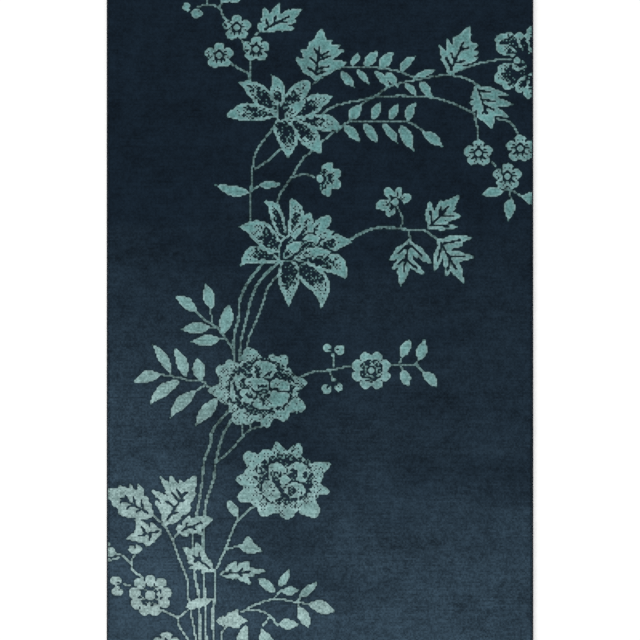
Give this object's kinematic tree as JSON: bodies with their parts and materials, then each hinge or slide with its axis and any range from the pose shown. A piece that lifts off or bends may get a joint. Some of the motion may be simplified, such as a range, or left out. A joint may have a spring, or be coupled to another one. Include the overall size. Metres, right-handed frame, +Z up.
{
  "type": "flat hand-knotted wool rug",
  "caption": "Small flat hand-knotted wool pile rug with a flowering-branch design, overcast long sides and turned-under woven ends; lies flat on a floor.",
  "frame": {"origin": "on the floor, under the middle of the rug", "axes": "+Z up out of the floor, +Y along the warps towards the end where the branches arch over, +X to the right of someone who reads the design upright"},
  "size_m": [0.8542, 1.3352, 0.011],
  "materials": {
    "navy_wool": "cut wool pile, dark navy, soft sheen",
    "navy_edge_wool": "overcast wool yarn, dark navy",
    "aqua_wool": "cut wool pile, pale grey-aqua, soft sheen",
    "foundation_cotton": "woven cotton, undyed"
  },
  "bodies": {
    "root": {"knotted_rug": "navy_wool", "side_cord_left": "navy_edge_wool", "side_cord_right": "navy_edge_wool"}
  },
  "joints": []
}
